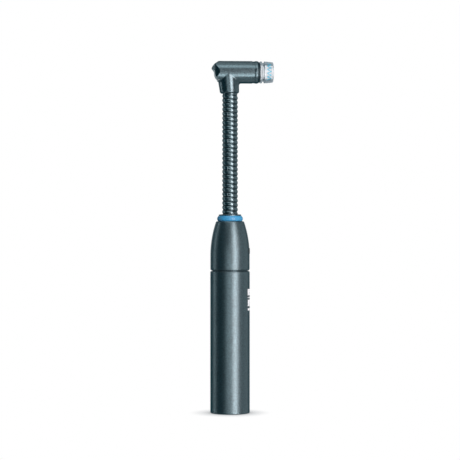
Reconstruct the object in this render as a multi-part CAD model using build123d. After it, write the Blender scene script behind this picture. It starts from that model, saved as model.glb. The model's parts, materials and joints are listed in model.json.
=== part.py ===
from build123d import *
import math
import os

os.makedirs("parts", exist_ok=True)

# Cordless polishing handpiece: battery handle, motor nose, flexible neck and right-angle prophy head.
# Millimetres, Z up, origin at the centre of the handle's foot. The head's barrel points along +X.

# ---- Driving dimensions: handle ----
HANDLE_R = 10.5
TUBE_BORE_R = 9.4
SEAM_Z = 75.8
SEAM_GAP = 0.3
EDGE_CHAMFER = 0.5
FOOT_FILLET = 0.6
BASE_CAP_T = 3.0
CELL_R = 9.1
CELL_LENGTH = 65.0
CELL_NUB = (3.0, 0.8)
CELL_Z = BASE_CAP_T + 2.7
CONTACT_T = 0.4
PIN_R = 1.2
INSULATOR_R = 3.2
CONTACT_RING_R = (7.0, 6.0)
CONTACT_RING_T = 0.8
SPRING = (0.7, 5.0, 2.1, 0.28)
SPIGOT_Z = 71.2
SPIGOT_BORE_R = 8.2
O_RING_WIRE_R = 0.3
O_RING_SEAT_R = 8.78
JOINT_O_RING_Z = 73.5
BASE_O_RING_Z = 2.0
O_RING_GROOVE_HALF = 0.35
BOARD_R = 8.0
BOARD_Z = (74.4, 75.4)
CHIP_SIZE = (2.6, 2.2, 0.9)
CHIP_PLACES = ((3, 3), (-3.5, 2), (0, -4))

# ---- Nose housing ----
NOSE_R = 10.45
NOSE_STRAIGHT_TO_Z = 84.0
NOSE_ARC_R = 55.0
NOSE_TOP_Z = 102.1
NOSE_TOP_FILLET = 0.9
NOSE_BORE_TO_Z = 93.0
NOSE_CONE_TO_Z = 99.5
NOSE_MOUTH_R = 4.4

# ---- Motor ----
MOTOR_R = 7.0
MOTOR_WALL = 0.5
MOTOR_Z = (78.0, 95.0)
MOTOR_SHAFT_R = 1.0
COUPLING_Z = (95.6, 99.2)
COUPLING_R = 2.4
BUSH_SEAT_R = 2.5
CARRIER_Z = (88.2, 92.8)
CARRIER_SLOT = (1.2, 3.0)
MAGNET_R = 5.3
MAGNET_Z = (80.4, 92.6)
MAGNET_GAP = 3.0
END_BELL_DEPTH = 1.4
END_BELL_STEP = 0.8
STACK_Z = (82.0, 91.0)
STACK_R = 2.2
POLE_SIZE = (1.3, 4.3)
SHOE_R = (4.9, 4.1)
SHOE_GAP = 1.1
WINDING_R = (3.95, 2.35)
WINDING_Z = (82.3, 90.7)
WINDING_GAP = 1.6
ROTOR_SHAFT_Z = (77.4, 97.4)
SLIT = (2.0, 0.5)

# ---- Power button, on the side that the head's barrel points to ----
BUTTON_Z = 86.2
BUTTON_TURN = -15
BUTTON_R = 1.6
BUTTON_FLANGE_R = 2.1
BUTTON_FACE_R = 10.6
BUTTON_LEDGE_X = 9.3
BUTTON_SEAL_R = 2.3
BUTTON_SEAL_X = (9.6, 10.0)
BUTTON_STEP_X = (8.85, 9.2)
BUTTON_WAY_X = (7.5, 12.0)
BUTTON_PLAY = (0.1, 0.15)
SWITCH_X = (7.55, 8.0, 8.2)
SWITCH_SIZE = (3.2, 0.95)
SWITCH_PLUNGER_R = 0.7

# ---- Colour ring and neck ----
RING_Z = (102.1, 104.95)
RING_R = (6.35, 6.84, 6.02)
COLLAR_R = 6.0
COLLAR_Z = (105.0, 105.7)
COLLAR_CHAMFER = (0.3, 0.25)
COLLAR_FLARE = ((4.7, 0.0), (4.25, 0.07))
SWIVEL_GAP = 0.05
NECK_Z = (105.9, 169.15)
NECK_R = 4.16
NECK_WIRE_R = 0.95
LINK_COUNT = 4
LINK_TURNS = 6
STUB_TURNS = 1.3
LINK_GAP = 0.9
CABLE_GAP = 0.3
CABLE_R = 1.0
LINER_R = (2.2, 1.3)
LINER_SHORT = 0.6
WEDGE_OUTER = (3.65, 0.31)
WEDGE_INNER = (2.6, 0.05)

# ---- Head ----
BARREL_Z = 181.5
BARREL_R = 6.0
BARREL_BORE_R = 5.0
BARREL_X = (-5.5, 12.3)
BARREL_STEP = (11.75, 5.82)
FERRULE_R = (3.8, 3.9)
FERRULE_TONGUE = 1.9
CONE_Z = 170.1
CONE_FOOT = (-0.22, 5.1)
CONE_TOP = (-1.2, 5.98)
CONE_FILLET = 1.15
THROAT_FILLET = 1.1
SHAFT_BORE_R = 3.0
PINION_BORE_R = 3.8
PINION_BORE_Z = 176.0
PINION_BUSH_Z = ((172.0, 173.4), (174.6, 175.9))
PINION_SHAFT_TOP_Z = 178.3
SPINDLE_R = 1.0
SPINDLE_TOP_X = 18.9
REAR_BUSH_X = (-4.95, -3.5)
FRONT_BUSH_X = (8.7, 11.1)
SPACER_R = (4.95, 4.45)
SPACER_X = (6.2, 8.7)
SEAL_X = (12.6, 13.6)
SEAL_R = 4.2
RUNNING = 0.03

# ---- Bevel pair: shaft angle 90 degrees, both apexes where the shafts' axes meet ----
MODULE = 0.5
PINION_TEETH = 12
CROWN_TEETH = 16
FACE_WIDTH = 1.5
TOOTH_THICKNESS = 0.64
ADDENDUM = 0.4
DEDENDUM = 0.625
PRESSURE_ANGLE = 20.0
ROOT_SINK = 0.05
PINION_BACK = 5.0
CROWN_BACK = 4.4
CROWN_HUB = (2.2, 5.6)

# ---- Rear cap and its hinge ----
HINGE_X = -6.1
HINGE_Z = 177.3
HINGE_PIN_R = 0.35
KNUCKLE_R = 0.75
KNUCKLE_HALF = 1.5
HINGE_HALF = 3.2
HINGE_GAP = 0.15
EAR_FROM = KNUCKLE_HALF + HINGE_GAP
CAP_POCKET = (3.0, 1.5)
CAP_HOOD = ((-7.05, 186.68), (-8.5, 185.6), (-9.6, 184.1))
CAP_BEAK = (-9.82, 183.55)
CAP_UNDERCUT = ((-9.42, 182.98), (-8.85, 182.45))
CAP_BACK = ((-8.44, 181.8), (-8.32, 181.1), (-8.05, 179.5), (-7.2, 178.13))
CAP_FOOT = 0.4
CAP_PLAN = (-3.6, 6.35)

# ---- Nose ring, guard cap and cup, along the barrel's axis ----
RETAINER_X = (12.3, 15.85)
RETAINER_TONGUE = 1.2
RETAINER_BEAD = ((0.0, 5.82), (0.65, 5.82), (1.0, 5.95), (1.5, 6.03), (2.2, 6.0), (2.8, 5.75), (3.3, 5.45))
NOSE_RING_X = 17.05
NOSE_RING_R = 5.82
NOSE_RING_ROUND = 0.15
NOSE_LIP = (3.6, 1.9)
NOSE_MOUTH = (4.3, 0.4)
SNAP_R = 5.0
SNAP_LENGTH = 3.0
GUARD_X = (18.1, 23.0)
GUARD_R = (5.84, 5.48)
GUARD_TIP = ((0.0, 0.5), (0.2, 0.12), (0.5, 0.0))
GUARD_WALL = 0.72
GUARD_CLEARANCE = 0.05
CUP_X = (17.4, 21.6)
CUP_HUB_R = (1.9, 2.3, 2.05)
CUP_MOUTH_R = (3.3, 2.85)
WEB_SIZE = (1.3, 0.25, 1.6)

FOOT = (Align.CENTER, Align.CENTER, Align.MIN)
PITCH = (NECK_Z[1] - NECK_Z[0]) / (LINK_COUNT * LINK_TURNS + 2 * STUB_TURNS)
HINGE_HEIGHTS = [NECK_Z[0] + (STUB_TURNS + i * LINK_TURNS) * PITCH for i in range(LINK_COUNT + 1)]


# ---- Helpers ----
def disc(radius, low, high):
    """A plain cylinder on the Z axis between two heights."""
    return Pos(0, 0, low) * Cylinder(radius, high - low, align=FOOT)


def ring(outer, inner, low, high):
    """A plain ring on the Z axis between two heights."""
    return disc(outer, low, high) - disc(inner, low, high)


def turned(*corners):
    """A body turned about the Z axis, from the (radius, height) corners of its half section."""
    return revolve(make_face(Polyline(*[(r, 0, z) for r, z in corners], close=True)), Axis.Z)


def o_ring(wire_radius, seat_radius, height):
    """A rubber ring that sits on a groove's floor."""
    return Pos(0, 0, height) * Torus(seat_radius + wire_radius + 0.01, wire_radius)


def o_ring_groove(height):
    """The space that an O-ring's groove takes out of a turned part."""
    return ring(TUBE_BORE_R + 1, O_RING_SEAT_R, height - O_RING_GROOVE_HALF, height + O_RING_GROOVE_HALF)


def along_x(shape, height=BARREL_Z):
    """Lays a shape that was turned about Z along +X, at a height above the foot."""
    return Pos(0, 0, height) * Rot(0, 90, 0) * shape


def at_button(shape):
    """Lays a shape that was turned about Z along the power button's axis."""
    return Rot(0, 0, BUTTON_TURN) * along_x(shape, BUTTON_Z)


# ---- Handle ----
def battery_tube():
    tube = ring(HANDLE_R, TUBE_BORE_R, 0, SEAM_Z - SEAM_GAP / 2)
    outer_rims = tube.edges().filter_by(GeomType.CIRCLE).filter_by(lambda e: e.radius > TUBE_BORE_R + 0.1)
    tube = fillet(outer_rims.sort_by(Axis.Z)[0], FOOT_FILLET)
    outer_rims = tube.edges().filter_by(GeomType.CIRCLE).filter_by(lambda e: e.radius > TUBE_BORE_R + 0.1)
    return chamfer(outer_rims.sort_by(Axis.Z)[-1], EDGE_CHAMFER)


def base_cap():
    cap = ring(TUBE_BORE_R, INSULATOR_R, 0, BASE_CAP_T)
    return cap - ring(*CONTACT_RING_R, 0, CONTACT_RING_T) - o_ring_groove(BASE_O_RING_Z)


def battery_spring():
    pitch, radius, height, wire_radius = SPRING
    path = Helix(pitch, height, radius, center=(0, 0, BASE_CAP_T + 0.3))
    return sweep(Plane(origin=path @ 0, z_dir=path % 0) * Circle(wire_radius), path=path, is_frenet=True)


def battery_cell():
    body = disc(CELL_R, CELL_Z, CELL_Z + CELL_LENGTH - CELL_NUB[1])
    return fillet(body.edges(), 0.6) + disc(CELL_NUB[0], CELL_Z + 1, CELL_Z + CELL_LENGTH)


def nose_housing():
    low = SEAM_Z + SEAM_GAP / 2
    drop = NOSE_TOP_Z - NOSE_STRAIGHT_TO_Z
    top_r = NOSE_R - NOSE_ARC_R + math.sqrt(NOSE_ARC_R**2 - drop**2)
    outside = [
        Line((0, 0, SPIGOT_Z), (TUBE_BORE_R, 0, SPIGOT_Z)),
        Line((TUBE_BORE_R, 0, SPIGOT_Z), (TUBE_BORE_R, 0, low)),
        Line((TUBE_BORE_R, 0, low), (HANDLE_R - EDGE_CHAMFER, 0, low)),
        Line((HANDLE_R - EDGE_CHAMFER, 0, low), (NOSE_R, 0, low + EDGE_CHAMFER)),
        Line((NOSE_R, 0, low + EDGE_CHAMFER), (NOSE_R, 0, NOSE_STRAIGHT_TO_Z)),
        TangentArc([(NOSE_R, 0, NOSE_STRAIGHT_TO_Z), (top_r, 0, NOSE_TOP_Z)], tangent=(0, 0, 1)),
        Line((top_r, 0, NOSE_TOP_Z), (0, 0, NOSE_TOP_Z)),
        Line((0, 0, NOSE_TOP_Z), (0, 0, SPIGOT_Z)),
    ]
    body = revolve(make_face(Curve() + outside), Axis.Z)
    shoulder = body.edges().filter_by(GeomType.CIRCLE).sort_by(Axis.Z)[-1]
    body = fillet(shoulder, NOSE_TOP_FILLET)
    bore = turned(
        (0, SPIGOT_Z),
        (SPIGOT_BORE_R, SPIGOT_Z),
        (SPIGOT_BORE_R, NOSE_BORE_TO_Z),
        (NOSE_MOUTH_R, NOSE_CONE_TO_Z),
        (NOSE_MOUTH_R, NOSE_TOP_Z),
        (0, NOSE_TOP_Z),
    )
    inner, outer = BUTTON_WAY_X
    button_way = disc(BUTTON_R + BUTTON_PLAY[0], inner, outer)
    button_way += disc(BUTTON_FLANGE_R + BUTTON_PLAY[1], inner, BUTTON_LEDGE_X)
    button_way += disc(BUTTON_SEAL_R, *BUTTON_SEAL_X)
    return body - bore - o_ring_groove(JOINT_O_RING_Z) - at_button(button_way)


def power_button():
    low, step = BUTTON_STEP_X
    button = disc(BUTTON_FLANGE_R, low, step) + disc(BUTTON_R, step, BUTTON_WAY_X[1])
    return at_button(button) & disc(BUTTON_FACE_R, BUTTON_Z - 2 * BUTTON_R, BUTTON_Z + 2 * BUTTON_R)


def power_switch():
    middle, top, plunger_top = SWITCH_X
    side, height = SWITCH_SIZE
    block = Pos(0, 0, middle) * Box(side, side, height)
    return at_button(block + disc(SWITCH_PLUNGER_R, top, plunger_top))


def positive_contact():
    top = CELL_Z + CELL_LENGTH
    return disc(5.0, top, top + CONTACT_T) + disc(1.0, top, BOARD_Z[0])


def driver_board():
    chips = [Pos(x, y, BOARD_Z[1]) * Box(*CHIP_SIZE, align=FOOT) for x, y in CHIP_PLACES]
    return disc(BOARD_R, *BOARD_Z) + chips


def motor_carrier():
    """The collar between the motor and the housing's bore, with four cooling slots."""
    low, high = CARRIER_Z
    slot = Pos(SPIGOT_BORE_R - 0.3, 0, (low + high) / 2) * Box(*CARRIER_SLOT, 2 * (high - low))
    slots = [Rot(0, 0, 90 * i + 45) * slot for i in range(4)]
    return ring(SPIGOT_BORE_R, MOTOR_R, low, high) - slots


def motor_can():
    low, high = MOTOR_Z
    can = disc(MOTOR_R, low, high) - disc(MOTOR_R - MOTOR_WALL, low, high - 1.0)
    return can - disc(BUSH_SEAT_R, high - 2, high)


def motor_magnets():
    arcs = ring(MOTOR_R - MOTOR_WALL, MAGNET_R, *MAGNET_Z)
    return arcs - Box(4 * MOTOR_R, MAGNET_GAP, 3 * MAGNET_Z[1])


def motor_end_bell():
    low = MOTOR_Z[0]
    return ring(MOTOR_R - MOTOR_WALL, BUSH_SEAT_R, low - END_BELL_STEP, low + END_BELL_DEPTH)


def motor_bushes():
    low, high = MOTOR_Z
    inner = MOTOR_SHAFT_R + RUNNING
    spans = ((low - END_BELL_STEP, low + END_BELL_DEPTH), (high - 1.0, high + 0.4))
    return Part() + [ring(BUSH_SEAT_R, inner, *span) for span in spans]


def motor_rotor():
    low, high = STACK_Z
    middle = (low + high) / 2
    width, reach = POLE_SIZE
    pole = Pos(0, 0, low) * Box(width, reach, high - low, align=(Align.CENTER, Align.MIN, Align.MIN))
    gap = Pos(0, SHOE_R[0], middle) * Box(SHOE_GAP, 2.0, 2 * (high - low))
    poles = [Rot(0, 0, 120 * i) * pole for i in range(3)]
    shoes = ring(*SHOE_R, low, high) - [Rot(0, 0, 120 * i + 60) * gap for i in range(3)]
    return disc(STACK_R, low, high) + poles + shoes + disc(MOTOR_SHAFT_R, *ROTOR_SHAFT_Z)


def rotor_windings():
    """Three copper coils between the rotor's poles."""
    low, high = WINDING_Z
    outer, inner = WINDING_R
    gap = Pos(0, (outer + inner) / 2, (low + high) / 2) * Box(WINDING_GAP, 2 * (outer - inner), 2 * (high - low))
    return ring(outer, inner, low, high) - [Rot(0, 0, 120 * i) * gap for i in range(3)]


def drive_coupling():
    low, high = COUPLING_Z
    depth, height = SLIT
    slit = Pos(COUPLING_R, 0, (low + high) / 2) * Box(depth, 2 * COUPLING_R, height)
    return ring(COUPLING_R, MOTOR_SHAFT_R, low, high) - [Rot(0, 0, 180 * i) * slit for i in range(2)]


# ---- Colour ring and neck ----
def colour_ring():
    low, high = RING_Z
    middle = (low + high) / 2
    low_r, middle_r, high_r = RING_R
    outline = [
        Line((NOSE_MOUTH_R, 0, low), (low_r, 0, low)),
        ThreePointArc((low_r, 0, low), (middle_r, 0, middle), (high_r, 0, high)),
        Line((high_r, 0, high), (NOSE_MOUTH_R, 0, high)),
        Line((NOSE_MOUTH_R, 0, high), (NOSE_MOUTH_R, 0, low)),
    ]
    return revolve(make_face(Curve() + outline), Axis.Z)


def neck_collar():
    """The ferrule on which the neck turns in the nose, with its flared collar and the coil's liner."""
    low, high = COLLAR_Z
    inset, drop = COLLAR_CHAMFER
    flare = [(radius, high + rise) for radius, rise in COLLAR_FLARE]
    return turned(
        (LINER_R[1], NOSE_CONE_TO_Z + 0.1),
        (NOSE_MOUTH_R - SWIVEL_GAP, NOSE_CONE_TO_Z + 0.1),
        (NOSE_MOUTH_R - SWIVEL_GAP, low),
        (COLLAR_R, low),
        (COLLAR_R, high - drop),
        (COLLAR_R - inset, high),
        *flare,
        (4.0, NECK_Z[0]),
        (LINER_R[0], NECK_Z[0]),
        (LINER_R[0], HINGE_HEIGHTS[0] - LINER_SHORT),
        (LINER_R[1], HINGE_HEIGHTS[0] - LINER_SHORT),
    )


def helix_body(section, radius):
    """A left-hand wire along the whole neck, from its cross-section placed on the first plane."""
    path = Helix(PITCH, NECK_Z[1] - NECK_Z[0] + 2 * PITCH, radius, center=(0, 0, NECK_Z[0] - PITCH), lefthand=True)
    return sweep(Plane(origin=path @ 0, x_dir=(1, 0, 0), z_dir=path % 0) * section, path=path, is_frenet=True)


def neck_spans():
    """The (name, low, high) stretch of each neck piece, short of the bending planes by half a gap."""
    names = ["base"] + [str(i + 1) for i in range(LINK_COUNT)] + ["head"]
    planes = [NECK_Z[0] - LINK_GAP / 2] + HINGE_HEIGHTS + [NECK_Z[1] + LINK_GAP / 2]
    return [
        (name, low + LINK_GAP / 2, high - LINK_GAP / 2) for name, low, high in zip(names, planes, planes[1:])
    ]


def neck_pieces():
    """The round coil and the wedge wire in its groove, cut into the neck's links."""
    coil_radius = NECK_R - NECK_WIRE_R
    coil = helix_body(Circle(NECK_WIRE_R), coil_radius)
    outer_r, outer_half = WEDGE_OUTER
    inner_r, inner_half = WEDGE_INNER
    wedge_section = make_face(
        Polyline(
            (inner_r - coil_radius, -inner_half),
            (outer_r - coil_radius, -outer_half),
            (outer_r - coil_radius, outer_half),
            (inner_r - coil_radius, inner_half),
            close=True,
        )
    )
    wedge = Pos(0, 0, PITCH / 2) * helix_body(wedge_section, coil_radius)
    pieces = {}
    for name, low, high in neck_spans():
        span = disc(NECK_R + 1, low, high)
        pieces["neck_coil_" + name] = coil & span
        pieces["neck_wedge_" + name] = wedge & span
    return pieces


def drive_cables():
    """The flexible drive shaft, cut at the neck's bending planes."""
    pieces = {"drive_cable_base": disc(CABLE_R, ROTOR_SHAFT_Z[1], HINGE_HEIGHTS[0] - CABLE_GAP / 2)}
    for i in range(LINK_COUNT):
        low = HINGE_HEIGHTS[i] + CABLE_GAP / 2
        high = HINGE_HEIGHTS[i + 1] - CABLE_GAP / 2
        pieces[f"drive_cable_{i + 1}"] = disc(CABLE_R, low, high)
    return pieces


# ---- Head ----
def head_ferrule():
    """The ferrule that holds the neck's upper end in the head."""
    bottom = HINGE_HEIGHTS[-1] + LINER_SHORT
    top = CONE_Z + FERRULE_TONGUE
    low_r, high_r = FERRULE_R
    return turned(
        (LINER_R[1], bottom),
        (LINER_R[0], bottom),
        (LINER_R[0], NECK_Z[1]),
        (low_r, NECK_Z[1]),
        (high_r, NECK_Z[1] + 0.2),
        (high_r, CONE_Z),
        (SHAFT_BORE_R, CONE_Z),
        (SHAFT_BORE_R, top),
        (LINER_R[1], top),
    )


def head_cone():
    """The oblique cone that carries the barrel."""
    cone = loft([
        Pos(CONE_FOOT[0], 0, CONE_Z) * Circle(CONE_FOOT[1]),
        Pos(CONE_TOP[0], 0, BARREL_Z) * Circle(CONE_TOP[1]),
    ])
    return fillet(cone.edges().sort_by(Axis.Z)[0], CONE_FILLET)


def head_body():
    """The barrel on its cone, blended at the throat, as one solid that runs past the rear seam."""
    body = head_cone() + along_x(disc(BARREL_R, BARREL_X[0] - 6, BARREL_X[1]))
    barrel_bottom = BARREL_Z - BARREL_R - 0.1
    throat = body.edges().filter_by(GeomType.BSPLINE).filter_by(
        lambda edge: edge.bounding_box().min.Z > barrel_bottom and edge.length > BARREL_R
    )
    return fillet(throat, THROAT_FILLET)


def hinge_cylinder(radius, y_low, y_high):
    """A cylinder along Y on the rear cap's hinge line."""
    body = Cylinder(radius, y_high - y_low)
    return Pos(HINGE_X, (y_low + y_high) / 2, HINGE_Z) * Rot(90, 0, 0) * body


def ear_spans():
    """Where the housing's two hinge ears stand along Y."""
    return [(-HINGE_HALF, -EAR_FROM), (EAR_FROM, HINGE_HALF)]


def behind_seam(low, high):
    """The space behind the rear seam, between two heights."""
    return Pos(BARREL_X[0], 0, low) * Box(20, 20, high - low, align=(Align.MAX, Align.CENTER, Align.MIN))


def head_housing():
    """The barrel and cone, bored for the spindle and the pinion shaft, with two hinge ears behind."""
    shell = head_body() - behind_seam(CONE_Z - 1, BARREL_Z + 10)
    shell += head_cone() & behind_seam(CONE_Z - 1, HINGE_Z)
    shell += [hinge_cylinder(KNUCKLE_R, low, high) for low, high in ear_spans()]
    shell -= hinge_cylinder(KNUCKLE_R + HINGE_GAP, -EAR_FROM, EAR_FROM)
    shell -= hinge_cylinder(HINGE_PIN_R, -HINGE_HALF, HINGE_HALF)
    shell -= along_x(disc(BARREL_BORE_R, BARREL_X[0] - 0.5, BARREL_X[1]))
    shell -= along_x(ring(BARREL_R + 1, BARREL_STEP[1], BARREL_STEP[0], BARREL_X[1]))
    shell -= disc(SHAFT_BORE_R, CONE_Z, PINION_BORE_Z)
    return shell - disc(PINION_BORE_R, PINION_BORE_Z, BARREL_Z)


def rear_cap_outline():
    """The cap's side outline: hood, thumb lip, undercut and back, as a closed face."""
    top = (BARREL_X[0], BARREL_Z + BARREL_R)
    seam = (BARREL_X[0], HINGE_Z)
    foot = (HINGE_X - CAP_FOOT, HINGE_Z)
    under, neck = CAP_UNDERCUT
    waist, back, belly, heel = CAP_BACK

    def at(*places):
        return [(x, 0, z) for x, z in places]

    curve = [
        Line(*at(seam, top)),
        Spline(*at(top, *CAP_HOOD), tangents=[(-1, 0, -0.15), (-0.5, 0, -1)]),
        Line(*at(CAP_HOOD[-1], CAP_BEAK)),
        ThreePointArc(*at(CAP_BEAK, under, neck)),
        ThreePointArc(*at(neck, waist, back)),
        ThreePointArc(*at(back, belly, heel)),
        Line(*at(heel, foot)),
        Line(*at(foot, seam)),
    ]
    return make_face(Curve() + curve)


def rear_cap():
    """The flip-open cover behind the spindle, with its thumb lip and hinge knuckle."""
    side = extrude(rear_cap_outline(), BARREL_R + 2, dir=(0, 1, 0), both=True)
    plan = Pos(CAP_PLAN[0], 0, 0) * disc(CAP_PLAN[1], HINGE_Z - 3, BARREL_Z + BARREL_R + 3)
    cap = side & plan & head_body()
    cap -= along_x(disc(CAP_POCKET[0], BARREL_X[0] - CAP_POCKET[1], BARREL_X[0] + 1))
    cap += hinge_cylinder(KNUCKLE_R, -KNUCKLE_HALF, KNUCKLE_HALF)
    for low, high in ear_spans():
        cap -= hinge_cylinder(KNUCKLE_R + HINGE_GAP, low - HINGE_GAP, high + HINGE_GAP)
    return cap - hinge_cylinder(HINGE_PIN_R + RUNNING, -HINGE_HALF, HINGE_HALF)


def hinge_pin():
    return hinge_cylinder(HINGE_PIN_R, -HINGE_HALF, HINGE_HALF)


def pinion_bushes():
    return Part() + [ring(SHAFT_BORE_R, CABLE_R + RUNNING, *span) for span in PINION_BUSH_Z]


def spindle_bush(low, high):
    return along_x(ring(BARREL_BORE_R, SPINDLE_R + RUNNING, low, high))


def bevel_gear(teeth, other_teeth, bore_r, back, tooth_at_zero):
    """A straight bevel gear about Z with its apex at the origin and its back towards +Z."""
    radius = MODULE * teeth / 2
    cone_length = math.hypot(radius, MODULE * other_teeth / 2)
    angle = math.atan2(teeth, other_teeth)
    along = Vector(math.sin(angle), 0, math.cos(angle))
    outward = Vector(math.cos(angle), 0, -math.sin(angle))
    small = (cone_length - FACE_WIDTH) / cone_length

    def corner(height, half_width, scale):
        return (along * cone_length + outward * height + Vector(0, half_width, 0)) * scale

    def tooth_section(scale):
        slope = math.tan(math.radians(PRESSURE_ANGLE))
        low, high = -DEDENDUM - ROOT_SINK, ADDENDUM
        wide, narrow = TOOTH_THICKNESS / 2 - low * slope, TOOTH_THICKNESS / 2 - high * slope
        corners = [corner(low, -wide, scale), corner(high, -narrow, scale)]
        corners += [corner(high, narrow, scale), corner(low, wide, scale)]
        return make_face(Polyline(*corners, close=True))

    root_big = corner(-DEDENDUM, 0, 1)
    root_small = corner(-DEDENDUM, 0, small)
    blank = turned(
        (0, root_small.Z), (root_small.X, root_small.Z), (root_big.X, root_big.Z), (root_big.X, back), (0, back)
    )
    tooth = loft([tooth_section(1), tooth_section(small)])
    offset = 0 if tooth_at_zero else 180 / teeth
    gear = blank + [Rot(0, 0, offset + 360 * i / teeth) * tooth for i in range(teeth)]
    return gear - disc(bore_r, 0, back)


def pinion_gear():
    gear = bevel_gear(PINION_TEETH, CROWN_TEETH, CABLE_R, PINION_BACK, True)
    return Pos(0, 0, BARREL_Z) * Rot(180, 0, 0) * gear


def crown_gear():
    gear = bevel_gear(CROWN_TEETH, PINION_TEETH, SPINDLE_R, CROWN_BACK, False)
    hub_r, hub_end = CROWN_HUB
    return along_x(gear + ring(hub_r, SPINDLE_R, CROWN_BACK, hub_end))


def front_retaining_ring():
    low, high = RETAINER_X
    bead = [(radius, low + along) for along, radius in RETAINER_BEAD]
    return along_x(turned(
        (SEAL_R, low - RETAINER_TONGUE),
        (BARREL_BORE_R, low - RETAINER_TONGUE),
        (BARREL_BORE_R, low),
        *bead,
        (SNAP_R, high),
        (SEAL_R, high),
    ))


def nose_ring():
    """The clear ring in the head's mouth, with its flange and the snap spigot for the guard cap."""
    low, high = RETAINER_X[1], NOSE_RING_X
    lip_r, lip_depth = NOSE_LIP
    mouth_r, mouth_depth = NOSE_MOUTH
    tip = GUARD_X[0] + SNAP_LENGTH
    return along_x(turned(
        (lip_r, low - lip_depth),
        (SEAL_R, low - lip_depth),
        (SEAL_R, low),
        (NOSE_RING_R - NOSE_RING_ROUND, low),
        (NOSE_RING_R, low + NOSE_RING_ROUND),
        (NOSE_RING_R, high - NOSE_RING_ROUND),
        (NOSE_RING_R - NOSE_RING_ROUND, high),
        (SNAP_R, high),
        (SNAP_R, tip),
        (mouth_r, tip),
        (mouth_r, high),
        (lip_r, high - mouth_depth),
    ))


def guard_cap():
    """The clear cap that snaps over the cup, closed at its far end."""
    low, high = GUARD_X
    near_r, far_r = GUARD_R
    inner = SNAP_R + GUARD_CLEARANCE
    tip = [(far_r - inset, high - back) for inset, back in GUARD_TIP]
    return along_x(turned(
        (inner, low),
        (near_r - NOSE_RING_ROUND, low),
        (near_r, low + NOSE_RING_ROUND),
        *tip,
        (0, high),
        (0, high - GUARD_WALL),
        (inner - 2 * GUARD_WALL, high - GUARD_WALL),
        (inner, high - 2 * GUARD_WALL),
    ))


def prophy_cup():
    """The rubber polishing cup, with four inner webs."""
    low, high = CUP_X
    hub_r, bead_r, waist_r = CUP_HUB_R
    mouth_r, mouth_bore_r = CUP_MOUTH_R
    floor = low + 1.5
    cup = turned(
        (SPINDLE_R, low),
        (hub_r, low),
        (bead_r, low + 0.4),
        (bead_r, low + 0.9),
        (waist_r, low + 1.2),
        (mouth_r, high),
        (mouth_bore_r, high),
        (1.5, low + 2.2),
        (0, low + 2.0),
        (0, floor),
        (SPINDLE_R, floor),
    )
    webs = [Rot(0, 0, 90 * i) * Pos(bead_r, 0, low + 2.9) * Box(*WEB_SIZE) for i in range(4)]
    inside = turned((0, floor + 0.4), (1.6, floor + 0.6), (mouth_bore_r + 0.1, high - 0.1), (0, high - 0.1))
    return along_x(cup + [web & inside for web in webs])


def build():
    """Every sub-part by its node's name."""
    nodes = {
        "battery_tube": battery_tube(),
        "base_cap": base_cap(),
        "base_o_ring": o_ring(O_RING_WIRE_R, O_RING_SEAT_R, BASE_O_RING_Z),
        "charge_contact_pin": disc(PIN_R, 0, BASE_CAP_T),
        "charge_contact_ring": ring(*CONTACT_RING_R, 0, CONTACT_RING_T),
        "contact_insulator": ring(INSULATOR_R, PIN_R, 0, BASE_CAP_T),
        "battery_spring": battery_spring(),
        "battery_cell": battery_cell(),
        "positive_contact": positive_contact(),
        "driver_board": driver_board(),
        "joint_o_ring": o_ring(O_RING_WIRE_R, O_RING_SEAT_R, JOINT_O_RING_Z),
        "nose_housing": nose_housing(),
        "power_button": power_button(),
        "button_seal": at_button(ring(BUTTON_SEAL_R, BUTTON_R + 0.05, *BUTTON_SEAL_X)),
        "power_switch": power_switch(),
        "motor_carrier": motor_carrier(),
        "motor_can": motor_can(),
        "motor_magnets": motor_magnets(),
        "motor_end_bell": motor_end_bell(),
        "motor_bushes": motor_bushes(),
        "motor_rotor": motor_rotor(),
        "rotor_windings": rotor_windings(),
        "drive_coupling": drive_coupling(),
        "colour_ring": colour_ring(),
        "neck_collar": neck_collar(),
        "head_ferrule": head_ferrule(),
        "head_housing": head_housing(),
        "rear_cap": rear_cap(),
        "hinge_pin": hinge_pin(),
        "pinion_bushes": pinion_bushes(),
        "pinion_shaft": disc(CABLE_R, HINGE_HEIGHTS[-1] + CABLE_GAP / 2, PINION_SHAFT_TOP_Z),
        "pinion_gear": pinion_gear(),
        "spindle": along_x(disc(SPINDLE_R, REAR_BUSH_X[0], SPINDLE_TOP_X)),
        "crown_gear": crown_gear(),
        "spindle_rear_bush": spindle_bush(*REAR_BUSH_X),
        "spindle_front_bush": spindle_bush(*FRONT_BUSH_X),
        "bearing_spacer": along_x(ring(*SPACER_R, *SPACER_X)),
        "front_retaining_ring": front_retaining_ring(),
        "dust_seal": along_x(ring(SEAL_R, SPINDLE_R + RUNNING, *SEAL_X)),
        "nose_ring": nose_ring(),
        "guard_cap": guard_cap(),
        "prophy_cup": prophy_cup(),
    }
    nodes.update(neck_pieces())
    nodes.update(drive_cables())
    return nodes


for node, shape in build().items():
    export_step(shape, f"parts/{node}.step")
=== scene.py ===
import json
import math

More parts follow.
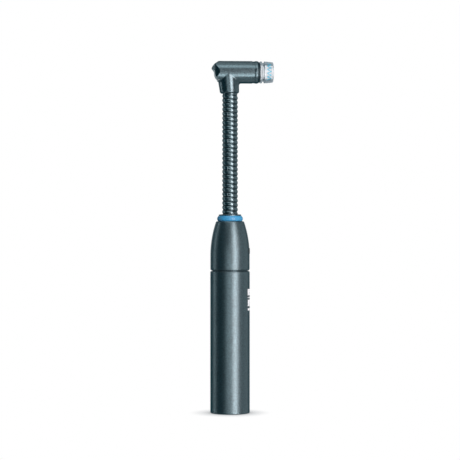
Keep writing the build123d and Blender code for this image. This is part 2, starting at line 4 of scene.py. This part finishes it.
import bmesh
import bpy
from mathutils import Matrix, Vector


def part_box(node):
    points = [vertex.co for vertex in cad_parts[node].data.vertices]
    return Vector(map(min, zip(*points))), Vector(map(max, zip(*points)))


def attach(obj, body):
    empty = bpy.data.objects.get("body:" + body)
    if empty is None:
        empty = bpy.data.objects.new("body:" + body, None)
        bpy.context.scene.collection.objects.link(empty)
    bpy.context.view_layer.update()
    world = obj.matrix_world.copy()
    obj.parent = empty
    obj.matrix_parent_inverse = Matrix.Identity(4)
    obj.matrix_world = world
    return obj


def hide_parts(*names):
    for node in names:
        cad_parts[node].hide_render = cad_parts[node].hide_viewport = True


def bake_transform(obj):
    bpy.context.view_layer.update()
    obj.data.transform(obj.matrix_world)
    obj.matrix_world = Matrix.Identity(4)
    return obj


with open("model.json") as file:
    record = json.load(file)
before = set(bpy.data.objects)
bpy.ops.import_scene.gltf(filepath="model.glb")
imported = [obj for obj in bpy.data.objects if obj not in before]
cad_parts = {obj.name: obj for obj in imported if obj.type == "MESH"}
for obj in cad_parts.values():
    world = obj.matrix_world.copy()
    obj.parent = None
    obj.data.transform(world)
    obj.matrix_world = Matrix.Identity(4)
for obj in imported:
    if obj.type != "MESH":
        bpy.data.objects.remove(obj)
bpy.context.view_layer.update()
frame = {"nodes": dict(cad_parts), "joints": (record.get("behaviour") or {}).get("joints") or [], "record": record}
NODES = frame["nodes"]
JOINTS = {joint["name"]: joint for joint in frame["joints"]}
MM = 0.001


# ---- Places read from the frame ----
def low(node):
    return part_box(node)[0]


def high(node):
    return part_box(node)[1]


HANDLE_R = high("battery_tube").x
BARREL_Z = (high("guard_cap").z + low("guard_cap").z) / 2
COIL_R = high("neck_coil_1").x
NECK_LOW = low("neck_coil_base").z
NECK_HIGH = high("neck_coil_head").z
BENDS = [JOINTS[f"neck_bend_{i}"]["pos_m"][2] for i in range(1, 6)]
LINK_TURNS = 6
PITCH = (BENDS[1] - BENDS[0]) / LINK_TURNS

# ---- Sizes of what is drawn here ----
COIL_HALF_WIDTH = 1.05 * MM
COIL_CREST = 0.6 * MM
COIL_ROOT = 1.3 * MM
WEDGE_HALF_WIDTH = 0.3 * MM
WEDGE_CREST = 0.22 * MM
WEDGE_ROOT = 0.9 * MM
STEPS_PER_TURN = 72

BARS_TOP = 66.1 * MM
BARS_BOTTOM = 54.7 * MM
BARS_ACROSS = (math.radians(60), math.radians(112))
BARS = [(0.0, 0.30), (0.38, 0.42), (0.50, 0.80), (0.90, 1.0)]
PRINT_THICKNESS = 0.012 * MM

GUARD_TAPER = 0.38 * MM
ZIGZAG_X = 20.55 * MM
ZIGZAG_REACH = 1.15 * MM
ZIGZAG_HALF_STROKE = math.radians(2.6)
ZIGZAG_STEP = math.radians(10.0)
ZIGZAG_CORNERS = 10
ZIGZAG_PROUD = 0.015 * MM
ZIGZAG_SUNK = 0.03 * MM


# ---- Material helpers ----
class Nodes:
    """A short way to build a material's nodes."""

    def __init__(self, name):
        self.material = bpy.data.materials.new(name)
        self.material.use_nodes = True
        self.tree = self.material.node_tree
        self.shader = self.tree.nodes["Principled BSDF"]

    def add(self, kind, **values):
        node = self.tree.nodes.new(kind)
        for key, value in values.items():
            if key in node.inputs:
                node.inputs[key].default_value = value
            else:
                setattr(node, key, value)
        return node

    def link(self, source, target):
        self.tree.links.new(source, target)

    def set(self, **values):
        for key, value in values.items():
            self.shader.inputs[key.replace("_", " ")].default_value = value

    def coordinates(self):
        return self.add("ShaderNodeTexCoord").outputs["Object"]

    def noise(self, scale, detail=3.0, roughness=0.55):
        node = self.add("ShaderNodeTexNoise", Scale=scale, Detail=detail, Roughness=roughness)
        self.link(self.coordinates(), node.inputs["Vector"])
        return node.outputs["Fac"]

    def ramp(self, factor, stops):
        node = self.add("ShaderNodeValToRGB")
        elements = node.color_ramp.elements
        while len(elements) < len(stops):
            elements.new(0.5)
        for element, (position, colour) in zip(elements, stops):
            element.position = position
            element.color = (*colour, 1.0)
        self.link(factor, node.inputs["Fac"])
        return node.outputs["Color"]

    def spread(self, factor, lowest, highest):
        node = self.add("ShaderNodeMapRange")
        node.inputs["To Min"].default_value = lowest
        node.inputs["To Max"].default_value = highest
        self.link(factor, node.inputs["Value"])
        return node.outputs["Result"]

    def bump(self, height, distance, strength=1.0):
        node = self.add("ShaderNodeBump", Strength=strength, Distance=distance)
        self.link(height, node.inputs["Height"])
        self.link(node.outputs["Normal"], self.shader.inputs["Normal"])


def shades(colour, spread):
    """A darker and a lighter shade of a colour, for a ramp."""
    return tuple(c * (1 - spread) for c in colour), tuple(min(1.0, c * (1 + spread)) for c in colour)


def satin_metal(name, colour, roughness, coat=1.0, grain=1.0):
    """Bead-blasted and anodised metal, with a fine grain in its colour, gloss and surface."""
    m = Nodes(name)
    dark, light = shades(colour, 0.3 * grain)
    m.link(m.ramp(m.noise(1300.0, 2.0), [(0.3, dark), (0.7, light)]), m.shader.inputs["Base Color"])
    m.link(m.spread(m.noise(1000.0, 5.0), roughness - 0.09, roughness + 0.09), m.shader.inputs["Roughness"])
    m.set(Metallic=1.0, Coat_Weight=coat, Coat_Roughness=roughness)
    m.bump(m.noise(2200.0, 4.0, 0.7), 0.00002 * grain, 0.9)
    return m.material


def plain_metal(name, colour, roughness, scale=700.0):
    """Machined metal with faint tool marks."""
    m = Nodes(name)
    dark, light = shades(colour, 0.08)
    m.link(m.ramp(m.noise(scale), [(0.35, dark), (0.65, light)]), m.shader.inputs["Base Color"])
    m.link(m.spread(m.noise(scale * 2), roughness - 0.05, roughness + 0.08), m.shader.inputs["Roughness"])
    m.set(Metallic=1.0)
    m.bump(m.noise(scale * 3, 2.0), 0.000004, 0.3)
    return m.material


def moulded(name, colour, roughness, grain=0.00001, sheen=0.0):
    """Plastic or rubber with a moulded grain."""
    m = Nodes(name)
    dark, light = shades(colour, 0.06)
    m.link(m.ramp(m.noise(150.0), [(0.3, dark), (0.7, light)]), m.shader.inputs["Base Color"])
    m.link(m.spread(m.noise(400.0), roughness - 0.05, roughness + 0.06), m.shader.inputs["Roughness"])
    m.set(Sheen_Weight=sheen)
    m.bump(m.noise(2500.0, 3.0), grain, 0.5)
    return m.material


def clear_plastic(name):
    """Clear moulded plastic: see-through face on, with painted shade in its colour: a dark line where the wall
    turns away, then a grey rim.
    """
    m = Nodes(name)
    slant = m.add("ShaderNodeLayerWeight", Blend=0.5).outputs["Facing"]
    # Painted shade: the colour darkens to a line where the wall turns from the view, then lightens to a grey rim.
    painted_edge_shade = [(0.16, (0.79, 0.89, 0.94)), (0.28, (0.1, 0.14, 0.165)), (0.75, (0.36, 0.43, 0.47))]
    m.link(m.ramp(slant, painted_edge_shade), m.shader.inputs["Base Color"])
    m.link(m.ramp(slant, [(0.12, (0.3,) * 3), (0.3, (0.8,) * 3)]), m.shader.inputs["Alpha"])
    m.link(m.spread(m.noise(300.0), 0.08, 0.14), m.shader.inputs["Roughness"])
    m.set(IOR=1.49)
    m.bump(m.noise(160.0, 2.0), 0.00001, 0.2)
    return m.material


PETROL = (0.046, 0.084, 0.098)
SATIN = satin_metal("petrol_satin_metal", PETROL, 0.39)
HEAD = satin_metal("petrol_head_metal", PETROL, 0.29)
# The neck's coil wire is the handle's petrol steel made lighter: a painted highlight that brightens the glints on
# its ridges.
NECK_WITH_PAINTED_HIGHLIGHT = satin_metal("petrol_neck_wire_painted_highlight", (0.072, 0.118, 0.133), 0.29, grain=0.3)
# The wedge wire is the same petrol steel made darker: painted shade in the grooves between the coil's turns.
WEDGE_WITH_PAINTED_SHADE = satin_metal("petrol_wedge_wire_painted_shade", (0.022, 0.042, 0.05), 0.38, coat=0.4, grain=0.3)
BLUE = moulded("ring_blue", (0.03, 0.205, 0.385), 0.42, grain=0.000006)
CLEAR = clear_plastic("clear_cap_plastic_painted_edge_shade")
CUP = moulded("cup_rubber", (0.86, 0.87, 0.87), 0.5)
BLACK = moulded("black_rubber", (0.018, 0.018, 0.02), 0.55, sheen=0.2)
BUTTON = moulded("button_plastic", (0.012, 0.02, 0.024), 0.45)
DARK = moulded("dark_plastic", (0.03, 0.03, 0.033), 0.4)
BOARD = moulded("board_green", (0.02, 0.16, 0.07), 0.3)
CELL = moulded("cell_wrap", (0.06, 0.22, 0.4), 0.25)
BRASS = plain_metal("brass_contacts", (0.72, 0.5, 0.2), 0.25)
COPPER = plain_metal("copper_wire", (0.72, 0.3, 0.14), 0.3, 2400.0)
MAGNET = plain_metal("dark_magnet", (0.1, 0.1, 0.11), 0.5)
STEEL = plain_metal("machined_steel", (0.55, 0.56, 0.57), 0.25)
PRINT = moulded("white_print", (0.68, 0.71, 0.73), 0.5)
CYAN = moulded("cyan_print", (0.014, 0.23, 0.34), 0.4)

SLOT_MATERIALS = {
    "satin_metal": SATIN,
    "neck_steel": NECK_WITH_PAINTED_HIGHLIGHT,
    "wedge_steel": WEDGE_WITH_PAINTED_SHADE,
    "ring_blue": BLUE,
    "clear_plastic": CLEAR,
    "cup_rubber": CUP,
    "black_rubber": BLACK,
    "button_plastic": BUTTON,
    "dark_plastic": DARK,
    "board": BOARD,
    "cell_wrap": CELL,
    "brass": BRASS,
    "copper": COPPER,
    "magnet": MAGNET,
    "steel": STEEL,
}
FINER_NODES = ("head_housing", "rear_cap", "head_ferrule", "front_retaining_ring")


def paint_frame():
    """Gives every CAD node its slot's material; the head's metal is finished finer than the handle's."""
    for entry in frame["record"]["subparts"]:
        mesh = NODES[entry["node"]].data
        mesh.materials.clear()
        fine = entry["node"] in FINER_NODES
        mesh.materials.append(HEAD if fine else SLOT_MATERIALS[entry["material_slot"]])


# ---- Mesh helpers ----
def new_object(name, mesh_data, material, smooth=True):
    """An object from a bmesh, with one material."""
    mesh = bpy.data.meshes.new(name)
    bmesh.ops.recalc_face_normals(mesh_data, faces=mesh_data.faces)
    mesh_data.to_mesh(mesh)
    mesh_data.free()
    for polygon in mesh.polygons:
        polygon.use_smooth = smooth
    mesh.materials.append(material)
    thing = bpy.data.objects.new(name, mesh)
    bpy.context.scene.collection.objects.link(thing)
    return thing


def skin(data, rows):
    """Faces round and between closed rows of vertices, with both ends closed."""
    count = len(rows[0])
    for row, after in zip(rows, rows[1:]):
        for i in range(count):
            k = (i + 1) % count
            data.faces.new((row[i], row[k], after[k], after[i]))
    data.faces.new(rows[0])
    data.faces.new(list(reversed(rows[-1])))


def trim(data, height, direction):
    """Cuts away what is past a height and closes the cut."""
    geometry = data.verts[:] + data.edges[:] + data.faces[:]
    cut = bmesh.ops.bisect_plane(
        data, geom=geometry, plane_co=(0, 0, height), plane_no=(0, 0, direction), clear_outer=True
    )
    rim = [e for e in cut["geom_cut"] if isinstance(e, bmesh.types.BMEdge)]
    if rim:
        bmesh.ops.holes_fill(data, edges=rim)


def helical_wire(name, section, start_z, end_z, phase, material):
    """A left-hand wire about the neck's axis, whose closed section is a list of (outward, up) offsets."""
    radius = COIL_R - COIL_CREST
    steps = max(2, round((end_z - start_z) / PITCH * STEPS_PER_TURN))
    data = bmesh.new()
    rows = []
    for step in range(steps + 1):
        z = start_z + (end_z - start_z) * step / steps
        angle = phase - 2 * math.pi * (z - NECK_LOW) / PITCH
        outward = Vector((math.cos(angle), math.sin(angle), 0))
        row = [outward * (radius + out) + Vector((0, 0, z + up)) for out, up in section]
        rows.append([data.verts.new(point) for point in row])
    skin(data, rows)
    trim(data, NECK_LOW, -1)
    trim(data, NECK_HIGH, 1)
    return new_object(name, data, material)


def wire_section(half_width, crest, root, count):
    """A wire's section with a flattened crest: a shallow half ellipse outwards and a deeper one inwards."""
    turns = [2 * math.pi * i / count for i in range(count)]
    return [(math.cos(t) * (crest if math.cos(t) > 0 else root), half_width * math.sin(t)) for t in turns]


# ---- Neck ----
def neck_pieces():
    """Five lengths of each wire, from the middle of one link to the middle of the next."""
    middles = [(a + b) / 2 for a, b in zip(BENDS, BENDS[1:])]
    starts = [NECK_LOW - PITCH] + middles
    ends = middles + [NECK_HIGH + PITCH]
    coil_section = wire_section(COIL_HALF_WIDTH, COIL_CREST, COIL_ROOT, 24)
    wedge_section = wire_section(WEDGE_HALF_WIDTH, WEDGE_CREST, WEDGE_ROOT, 14)
    wires = (("coil", coil_section, 0.0, NECK_WITH_PAINTED_HIGHLIGHT, "neck_steel"),
             ("wedge", wedge_section, math.pi, WEDGE_WITH_PAINTED_SHADE, "wedge_steel"))
    for i, (start, end) in enumerate(zip(starts, ends)):
        stands_for = ["base" if i == 0 else str(i)] + (["head"] if i == 4 else [])
        for kind, section, phase, material, slot in wires:
            wire = helical_wire(f"neck_{kind}_span_{i + 1}", section, start, end, phase, material)
            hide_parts(*[f"neck_{kind}_{part}" for part in stands_for])
            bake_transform(wire)


# ---- Printed marks ----
def curved_patch(data, place, u_range, v_range, columns, thickness):
    """A thin raised patch; place(u, v, lift) gives a point on the surface that carries it."""
    u0, u1 = u_range
    v0, v1 = v_range
    top, under = [], []
    for side, lift in ((top, thickness), (under, -thickness)):
        for i in range(columns + 1):
            u = u0 + (u1 - u0) * i / columns
            side.append([data.verts.new(place(u, v, lift)) for v in (v0, v1)])
    for i in range(columns):
        data.faces.new((top[i][0], top[i + 1][0], top[i + 1][1], top[i][1]))
        data.faces.new((under[i][0], under[i][1], under[i + 1][1], under[i + 1][0]))
        for k in (0, 1):
            data.faces.new((top[i][k], under[i][k], under[i + 1][k], top[i + 1][k]))
    for i in (0, columns):
        data.faces.new((top[i][0], top[i][1], under[i][1], under[i][0]))


def on_handle(angle, z, lift):
    """A point on the handle; the angle runs from the front towards +X."""
    radius = HANDLE_R + lift
    return Vector((radius * math.sin(angle), -radius * math.cos(angle), z))


def handle_marks():
    """A plain column of bars where the real handle carries print."""
    data = bmesh.new()
    length = BARS_TOP - BARS_BOTTOM
    for start, end in BARS:
        z_range = (BARS_TOP - length * start, BARS_TOP - length * end)
        curved_patch(data, on_handle, BARS_ACROSS, z_range, 24, PRINT_THICKNESS)
    marks = new_object("handle_marks", data, PRINT, smooth=False)
    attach(marks, "handle")


def on_guard(angle, x, lift):
    """A point on the guard cap's tapered side; the angle runs round the barrel's axis."""
    near, far = low("guard_cap").x, high("guard_cap").x
    mouth_r = (high("guard_cap").z - low("guard_cap").z) / 2
    radius = mouth_r - GUARD_TAPER * (x - near) / (far - near) + lift
    return Vector((x, -radius * math.cos(angle), BARREL_Z + radius * math.sin(angle)))


def zigzag_path(middle_angle):
    """(angle, x) along a zigzag, with several points on each of its strokes."""
    parts = 5
    path = []
    for k in range(ZIGZAG_CORNERS * parts + 1):
        t = k / parts
        swing = 1 - 2 * abs((t % 2) - 1)
        angle = middle_angle + (t - ZIGZAG_CORNERS / 2) * ZIGZAG_STEP
        path.append((angle, ZIGZAG_X + ZIGZAG_REACH * swing))
    return path


def guard_marks():
    """A plain zigzag on each side of the guard cap, where the real cap carries print."""
    data = bmesh.new()
    corners = ((-1, ZIGZAG_PROUD), (1, ZIGZAG_PROUD), (1, -ZIGZAG_SUNK), (-1, -ZIGZAG_SUNK))
    for side in (0, math.pi):
        rows = []
        for angle, x in zigzag_path(side):
            row = [on_guard(angle + edge * ZIGZAG_HALF_STROKE, x, lift) for edge, lift in corners]
            rows.append([data.verts.new(point) for point in row])
        skin(data, rows)
    marks = new_object("guard_marks", data, CYAN, smooth=False)
    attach(marks, "guard_cap")


# ---- Studio ----
def ray_switch(tree, outputs):
    """1 where a ray is of any of the named kinds."""
    path = tree.nodes.new("ShaderNodeLightPath")
    total = path.outputs[outputs[0]]
    for name in outputs[1:]:
        both = tree.nodes.new("ShaderNodeMath")
        both.operation = "MAXIMUM"
        tree.links.new(total, both.inputs[0])
        tree.links.new(path.outputs[name], both.inputs[1])
        total = both.outputs[0]
    return total


def studio_world():
    """White behind the object, and a dim room in what it reflects."""
    world = bpy.data.worlds.new("studio")
    world.use_nodes = True
    tree = world.node_tree
    background = tree.nodes["Background"]
    background.inputs["Color"].default_value = (0.05, 0.75, 1.0, 1.0)
    background.inputs["Strength"].default_value = 0.11
    white = tree.nodes.new("ShaderNodeBackground")
    white.inputs["Color"].default_value = (1, 1, 1, 1)
    white.inputs["Strength"].default_value = 1.0
    mix = tree.nodes.new("ShaderNodeMixShader")
    tree.links.new(ray_switch(tree, ["Is Camera Ray", "Is Transmission Ray"]), mix.inputs["Fac"])
    tree.links.new(background.outputs["Background"], mix.inputs[1])
    tree.links.new(white.outputs["Background"], mix.inputs[2])
    tree.links.new(mix.outputs["Shader"], tree.nodes["World Output"].inputs["Surface"])
    bpy.context.scene.world = world


def studio_floor():
    """A white floor, seen only by the camera, with a soft contact shadow round the foot."""
    data = bmesh.new()
    bmesh.ops.create_grid(data, x_segments=2, y_segments=2, size=3.0)
    m = Nodes("pale_floor")
    shade = m.add("ShaderNodeAmbientOcclusion", Distance=0.012, samples=16)
    stops = [(0.4, (0.34, 0.35, 0.36)), (0.75, (0.74, 0.75, 0.76)), (1.0, (1, 1, 1))]
    tone = m.ramp(shade.outputs["AO"], stops)
    glow = m.add("ShaderNodeEmission")
    m.link(tone, glow.inputs["Color"])
    m.link(glow.outputs["Emission"], m.tree.nodes["Material Output"].inputs["Surface"])
    floor = new_object("floor", data, m.material)
    floor.visible_shadow = False
    floor.visible_glossy = False
    floor.visible_diffuse = False


def area_light(name, azimuth, elevation, distance, size, radiance, target, spread=180, colour=(1, 1, 1)):
    """A rectangular light aimed at a target; azimuth 0 is the camera's side and 90 is +X."""
    light = bpy.data.lights.new(name, "AREA")
    light.shape = "RECTANGLE"
    light.size, light.size_y = size
    light.energy = radiance * math.pi * size[0] * size[1]
    light.spread = math.radians(spread)
    light.color = colour
    a, e = math.radians(azimuth), math.radians(elevation)
    direction = Vector((math.sin(a) * math.cos(e), -math.cos(a) * math.cos(e), math.sin(e)))
    thing = bpy.data.objects.new(name, light)
    thing.location = Vector(target) + direction * distance
    thing.rotation_euler = direction.to_track_quat("Z", "Y").to_euler()
    thing.visible_camera = False
    bpy.context.scene.collection.objects.link(thing)


def studio_lights():
    """A tall key strip gives the long highlight; the rest fill and edge the dark metal."""
    middle = (0, 0, 0.1)
    head = (0, 0, BARREL_Z)
    area_light("key_strip", 27, 0, 0.6, (0.25, 0.95), 9.8, (0, 0, 0.07), colour=(1, 0.85, 0.83))
    area_light("front_fill", -12, 0, 0.7, (0.30, 0.24), 2.7, (0, 0, 0))
    area_light("right_fill", 95, 0, 0.6, (0.7, 0.9), 0.55, middle)
    area_light("left_rim", -106, 0, 0.6, (0.10, 0.9), 2.3, middle)
    area_light("front_top", 0, 55, 0.6, (0.7, 0.32), 2.4, head)
    area_light("front_low", 3, -37, 0.2, (0.22, 0.09), 0.23, head, spread=40)
    area_light("overhead", 0, 88, 1.2, (1.2, 1.2), 0.75, middle)
    area_light("behind", 180, 20, 1.0, (1.2, 0.8), 0.45, middle)
    area_light("under", 0, -89, 0.8, (1.0, 1.0), 0.6, middle)


def studio_camera():
    """A long lens level with the middle of the object, a little to the left of its front."""
    view_width = 245.18 * MM
    distance = 0.88
    azimuth = math.radians(-4.0)
    height = 97.4 * MM
    camera = bpy.data.cameras.new("camera")
    camera.sensor_width = 36.0
    camera.lens = camera.sensor_width * distance / view_width
    camera.clip_start = 0.01
    thing = bpy.data.objects.new("camera", camera)
    thing.location = (math.sin(azimuth) * distance, -math.cos(azimuth) * distance, height)
    thing.rotation_euler = (math.radians(90), 0, azimuth)
    bpy.context.scene.collection.objects.link(thing)
    bpy.context.scene.camera = thing


bpy.context.scene.view_settings.view_transform = "Standard"
paint_frame()
neck_pieces()
handle_marks()
guard_marks()
studio_world()
studio_floor()
studio_lights()
studio_camera()
